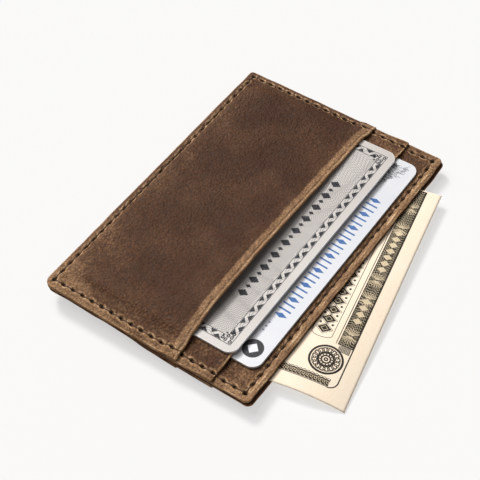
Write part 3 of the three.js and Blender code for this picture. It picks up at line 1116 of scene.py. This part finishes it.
def make_id_card(plastic, blue, dark, faint, white):
    body = card_solid("id_card_blank", ID_LOW, ID_HIGH, plastic)
    add_piece(body, "id_card", "id_card", "id_card")
    heading, pale, emblem, relief = (Print(card_place(ID_LOW, ID_HIGH)) for _ in range(4))
    mark_row(heading, ("lozenge", "slab", "slab"), 25, -25.5, 25.5, 2.6, 4.0, 0.35)
    mark_row(pale, ("bead",), 3, 27.2, 31.6, 5.0, 1.7, 0.1)
    for i in range(5):
        pale.bar(-8, 20 + 5 * i, 22 + 4 * (i % 2), 21 + 5 * i)
    emblem.disc(*EMBLEM_PLACE, EMBLEM_RADIUS, steps=56)
    engraved_field(emblem)
    corner = EMBLEM_PLACE - EMBLEM_LOZENGE / 2
    mark(relief, "lozenge", *corner, EMBLEM_LOZENGE, EMBLEM_LOZENGE, ink_height=2 * INK_HEIGHT)
    heading.make("id_card_heading", blue, "id_card")
    pale.make("id_card_fine_print", faint, "id_card")
    emblem.make("id_card_emblem", dark, "id_card")
    relief.make("id_card_emblem_relief", white, "id_card")


def engraved_field(printed):
    """Short strokes that fan out beside the other card, like grass."""
    rng = np.random.default_rng(11)
    for _ in range(420):
        u = -40.4 + 17 * rng.random() ** 1.3
        v = 9.6 - 6.6 * rng.random() ** 1.5 * max(0.12, 1 - (u + 40) / 15)
        length = 0.4 + 1.2 * rng.random()
        lean = rng.normal(0, 0.4)
        middle = (u + lean * length * 0.5, v - length * 0.6)
        printed.line([(u, v), middle, (u + lean * length, v - length)], 0.09)


# --- The note ---

NOTE_TURN = math.radians(10.8)
NOTE_CENTRE = np.array([4.5, 18.9])
NOTE_HALF = np.array([39.0, 30.0])
DROOP_START = 38.5
DROOP_END = 55.7
TIP_CLEARANCE = 0.1
LEAF = 0.11


def note_droop(y):
    share = np.maximum(0, (y - DROOP_START) / (DROOP_END - DROOP_START))
    return (NOTE_Z - TIP_CLEARANCE) * np.minimum(share, 1.1) ** 2


def note_point(u, v, height=0.0):
    """A point of the upper leaf: u along the note from its middle, v up from its middle."""
    cos, sin = math.cos(NOTE_TURN), math.sin(NOTE_TURN)
    x = NOTE_CENTRE[0] + u * cos - v * sin
    y = NOTE_CENTRE[1] + u * sin + v * cos
    top = NOTE_Z + NOTE_THICKNESS + rise(x, min(y, HALF_WIDTH)) - note_droop(y)
    return (x, y, top + height)


def make_note(paper, dark, light):
    points, faces = note_leaves()
    sheet = new_object("banknote_paper", points, faces, paper)
    add_piece(sheet, "banknote", "banknote", "folded_banknote")
    printed, reversed_out = Print(note_place, 1.2), Print(note_place, 1.2)
    note_print(printed, reversed_out)
    printed.make("banknote_print", dark, "banknote")
    reversed_out.make("banknote_reversed_print", light, "banknote")


def note_leaves():
    """A strip folded back under itself at its -u end, as one closed solid."""
    us = np.linspace(-NOTE_HALF[0], NOTE_HALF[0], 150)
    vs = np.linspace(NOTE_HALF[1], -NOTE_HALF[1], 90)
    turn = np.linspace(math.pi / 2, 1.5 * math.pi, 9)
    outer_radius = NOTE_THICKNESS / 2
    fold_u = us[0] + outer_radius
    flat = us[us > fold_u][::-1]

    def loop(radius):
        upper = [(u, radius) for u in flat]
        bend = [(fold_u + radius * math.cos(t), radius * math.sin(t)) for t in turn]
        lower = [(u, -radius) for u in flat[::-1]]
        return upper + bend + lower

    outline = loop(outer_radius) + loop(outer_radius - LEAF)[::-1]
    points = [note_point(u, v, h - outer_radius) for v in vs for u, h in outline]
    return points, sheet_faces(len(vs), len(outline))


def note_place(u, v, height):
    """Places (u, v) from the outer long edge's printed end: u back from the short edge and
    v in from the long edge."""
    return note_point(NOTE_HALF[0] - u, NOTE_HALF[1] - v, height)


NOTE_MARGIN = 4.5
NOTE_LENGTH = 2 * NOTE_HALF[0] - 0.5
NOTE_HEIGHT = 2 * NOTE_HALF[1] - 1.0
BAND_START = 17.6
BAND_TOP, BAND_BOTTOM = NOTE_MARGIN, NOTE_MARGIN + 4.3
STRIP_LEFT, STRIP_RIGHT = NOTE_MARGIN + 0.1, NOTE_MARGIN + 2.3
FRAME_BEND = 2.2
ROSETTE_PLACE = (11.9, 9.9)
ROSETTE_SQUEEZE = 0.94
TITLE_TOP = 11.9
TITLE_HEIGHT = 4.2
TITLE_WIDTH = 3.0
TITLE_PITCH = 3.3


def note_print(printed, light):
    """A made-up engraved design: frame, dark band, bold marks and a rosette."""
    note_frame(printed)
    note_band(printed, light)
    note_rosette(printed)
    note_strip(printed, light)
    note_hatching(printed)
    note_title(printed, light)
    note_title_frame(printed)
    note_ground(printed)


def note_frame(printed):
    corner = NOTE_MARGIN + FRAME_BEND
    printed.bar(corner, NOTE_MARGIN - 0.3, NOTE_LENGTH, NOTE_MARGIN + 0.05)
    printed.bar(NOTE_MARGIN - 0.2, corner, NOTE_MARGIN, NOTE_HEIGHT)
    bend = np.linspace(-math.pi / 2, -math.pi, 11)
    printed.line(polar((corner, corner), FRAME_BEND + 0.12, bend), 0.34)


def in_band(u, v):
    along = BAND_START + 0.2 < u < NOTE_LENGTH - 0.2
    return along and BAND_TOP + 0.15 < v < BAND_BOTTOM - 0.15


def note_band(printed, light):
    """The dark band along the long edge, with fine waves and pale marks let into it."""
    printed.bar(BAND_START, BAND_TOP, NOTE_LENGTH, BAND_BOTTOM)
    printed.bar(BAND_START, BAND_BOTTOM + 0.4, NOTE_LENGTH, BAND_BOTTOM + 0.6)
    travel = np.linspace(0, 1, 22)
    for lean in (2.6, -2.6):
        for i in range(82):
            start = BAND_START - 3 + i * 0.85
            sway = 0.55 * np.sin(2 * math.pi * travel + lean + i * 0.13)
            across = lerp(BAND_TOP, BAND_BOTTOM, travel)
            path = np.stack([start + lean * travel + sway, across], 1)
            light.line(path, 0.07, 2 * INK_HEIGHT, keep=in_band)
    middle = (BAND_TOP + BAND_BOTTOM) / 2
    for centre in (21.5, 34.5, 41.5, 61.5, 70):
        flourish(light, centre, middle)
    for start, count in ((25.5, 4), (44.5, 7)):
        for i in range(count):
            place = (start + 2.35 * i, middle - 1.35)
            mark(light, "lozenge", *place, 2.1, 2.7, ink_height=3 * INK_HEIGHT)


def flourish(light, u, v):
    """A fan of short pale strokes to both sides of a point in the band."""
    t = np.linspace(0.15, 1, 7)
    for i in range(-4, 5):
        for side in (-1, 1):
            reach = side * (2.6 - 0.28 * abs(i))
            path = np.stack([u + reach * t, v + 0.42 * i * t * (1 + t)], 1)
            light.line(path, 0.16, 2.5 * INK_HEIGHT, keep=in_band)


def note_rosette(printed):
    """Outlined rings with two rows of petals between them, in the printed corner."""
    for radius, width in ((4.5, 0.62), (3.85, 0.16), (2.2, 0.5), (1.15, 0.34), (0.45, 0.4)):
        printed.ring(*ROSETTE_PLACE, radius, width, steps=64, squeeze=ROSETTE_SQUEEZE)
    u, v = ROSETTE_PLACE
    sweep = np.linspace(0, 1, 9)
    for petals, inner, outer, width in ((16, 2.45, 3.75, 0.26), (12, 1.3, 2.0, 0.2)):
        out = lerp(inner, outer, sweep)
        for i in range(petals):
            for turn in (-0.3, 0.3):
                bend = 2 * math.pi * i / petals + turn * np.sin(math.pi * sweep)
                across = ROSETTE_SQUEEZE * out * np.cos(bend)
                printed.line(np.stack([u + across, v + out * np.sin(bend)], 1), width)


def note_strip(printed, light):
    """Lace strip down the short edge, scalloped on its inner side."""
    left, right = STRIP_LEFT, STRIP_RIGHT
    printed.bar(left, NOTE_MARGIN + 2.0, right - 0.3, NOTE_HEIGHT)
    scallop = np.linspace(-math.pi / 2, math.pi / 2, 8)
    for v in np.arange(NOTE_MARGIN + 2.4, NOTE_HEIGHT - 1, 1.15):
        curve = np.stack([right - 0.35 + 0.42 * np.cos(scallop), v + 0.5 * np.sin(scallop)], 1)
        printed.line(curve, 0.18)
        light.ring((left + right) / 2 - 0.1, v, 0.36, 0.16, steps=12, height=2 * INK_HEIGHT)
        for start, end in ((left + 0.1, left + 0.55), (right - 0.45, right - 0.95)):
            light.line([(start, v + 0.3), (end, v + 0.85)], 0.13, 2 * INK_HEIGHT)


def note_hatching(printed):
    """Cross-hatched patch between the rosette and the dark band."""
    for i in range(8):
        u = BAND_START - 2.0 + 0.26 * i
        end = NOTE_MARGIN + 3.9 - 0.25 * abs(i - 4)
        printed.line([(u, NOTE_MARGIN + 0.3), (u + 0.1, end)], 0.13)
        v = NOTE_MARGIN + 0.5 + 0.42 * i
        printed.line([(BAND_START - 2.1, v), (BAND_START, v + 0.15)], 0.13)


def note_title(printed, light):
    """A row of bold marks with a pale inline and a fine shadow line round them."""
    v, width, height = TITLE_TOP, TITLE_WIDTH, TITLE_HEIGHT
    for i in range(17):
        u = 19.5 + TITLE_PITCH * i
        mark(printed, "lozenge", u, v, width, height)
        mark(printed, "lozenge", u - 0.32, v - 0.42, width + 0.64, height + 0.84, stroke=0.11)
        inline = (u + 0.7, v + 1.1, width - 1.4, height - 2.2)
        mark(light, "lozenge", *inline, stroke=0.12, ink_height=2 * INK_HEIGHT)
        for end in (v + 0.35, v + height - 0.35):
            printed.disc(u + (width + TITLE_PITCH) / 2, end, 0.36, steps=10)


def note_title_frame(printed):
    low, high, start = TITLE_TOP - 0.85, TITLE_TOP + TITLE_HEIGHT + 0.85, 19.2
    bend = np.linspace(0, math.pi, 15)
    across = (low + high) / 2 - (high - low) / 2 * np.cos(bend)
    printed.line(np.stack([start - 1.1 * np.sin(bend), across], 1), 0.16)
    for edge in (low, high):
        printed.line([(start, edge), (NOTE_LENGTH, edge)], 0.16)


def note_ground(printed):
    """Fine background lines over the lower part of the note."""
    travel = np.linspace(8, 76, 60)
    for v in np.arange(20, 57, 0.9):
        printed.line(np.stack([travel, v + 0.5 * np.sin(travel * 0.5 + v)], 1), 0.1)


# --- Stage ---

FLOOR_GLOW = 0.565
FLOOR_REACH = 1500
CAMERA_AZIMUTH = math.radians(129.112)
CAMERA_ELEVATION = math.radians(50.382)
CAMERA_ROLL = math.radians(-4.861)
CAMERA_DISTANCE = 342.7
CAMERA_AIM = Vector((7.29, 1.62, MIDDLE_DIVIDER + LEATHER))
CAMERA_LENS = 89.74
SUN_COLOUR = (1, 0.985, 0.965)
WORLD_STRENGTH = 0.15


def make_floor():
    """A pale sheet that glows a little, which keeps the shadows on it light."""
    finish = Finish("studio_floor", roughness=0.9, specular=0.05)
    tone = finish.noise(180, 2, 0.5)
    paper = finish.finished(finish.mix(tone, (0.33, 0.33, 0.33, 1), (0.34, 0.34, 0.34, 1)))
    finish.shader.inputs["Emission Color"].default_value = (1, 1, 1, 1)
    finish.shader.inputs["Emission Strength"].default_value = FLOOR_GLOW
    sides = ((-1, -1), (1, -1), (1, 1), (-1, 1))
    corners = [(x * FLOOR_REACH, y * FLOOR_REACH, 0) for x, y in sides]
    floor = new_object("studio_floor", corners, [[0, 1, 2, 3]], paper, smooth_shading=False)


def make_camera():
    data = bpy.data.cameras.new("camera")
    data.sensor_width = 36
    data.lens = CAMERA_LENS
    data.clip_start = 0.01
    data.clip_end = 10
    camera = bpy.data.objects.new("camera", data)
    bpy.context.scene.collection.objects.link(camera)
    turn = Matrix.Rotation(CAMERA_AZIMUTH, 4, "Z")
    turn @= Matrix.Rotation(math.pi / 2 - CAMERA_ELEVATION, 4, "X")
    turn @= Matrix.Rotation(CAMERA_ROLL, 4, "Z")
    back = Matrix.Translation((0, 0, CAMERA_DISTANCE * MM))
    camera.matrix_world = Matrix.Translation(CAMERA_AIM * MM) @ turn @ back
    bpy.context.scene.camera = camera


def make_sun(name, energy, spread_degrees, towards):
    sun = bpy.data.lights.new(name, "SUN")
    sun.energy = energy
    sun.angle = math.radians(spread_degrees)
    sun.color = SUN_COLOUR
    lamp = bpy.data.objects.new(name, sun)
    lamp.rotation_mode = "QUATERNION"
    lamp.rotation_quaternion = Vector(towards).to_track_quat("Z", "Y")
    bpy.context.scene.collection.objects.link(lamp)


def make_lights():
    """Light from behind the closed side, so that each open edge shades what is under it."""
    world = bpy.data.worlds.new("studio")
    world.use_nodes = True
    background = world.node_tree.nodes["Background"]
    background.inputs["Color"].default_value = (1, 1, 1, 1)
    background.inputs["Strength"].default_value = WORLD_STRENGTH
    bpy.context.scene.world = world
    make_sun("key", energy=2.5, spread_degrees=15, towards=(-0.32, -0.64, 0.7))
    make_sun("fill", energy=1.65, spread_degrees=48, towards=(-0.12, -0.5, 0.86))


def main():
    make_camera()
    make_lights()
    make_floor()
    make_panels(pull_up_leather())
    make_lining(lining_cloth())
    make_threads(waxed_thread())
    silver = card_plastic(
        "silver_card", srgb(190, 183, 179), srgb(200, 194, 190), srgb(246, 244, 242),
    )
    pale = card_plastic("pale_card", srgb(212, 216, 224), srgb(220, 221, 226), srgb(238, 238, 239))
    dark_ink = ink("dark_ink", srgb(38, 38, 44), srgb(64, 63, 68))
    grey_ink = ink("grey_ink", srgb(128, 122, 120), srgb(150, 144, 142))
    make_payment_card(silver, dark_ink, grey_ink)
    blue_ink = ink("blue_ink", srgb(52, 96, 162), srgb(84, 124, 178))
    violet_ink = ink("violet_ink", srgb(120, 122, 148), srgb(150, 152, 176))
    white_ink = ink("white_ink", srgb(236, 238, 244), srgb(226, 228, 238))
    make_id_card(pale, blue_ink, dark_ink, violet_ink, white_ink)
    black_ink = ink("engraving_ink", srgb(34, 29, 24), srgb(60, 52, 42), 0.75)
    cream_ink = ink("cream_ink", srgb(226, 208, 176), srgb(206, 186, 152), 0.8)
    make_note(note_paper(), black_ink, cream_ink)
    bpy.context.scene.view_settings.view_transform = "Standard"


main()
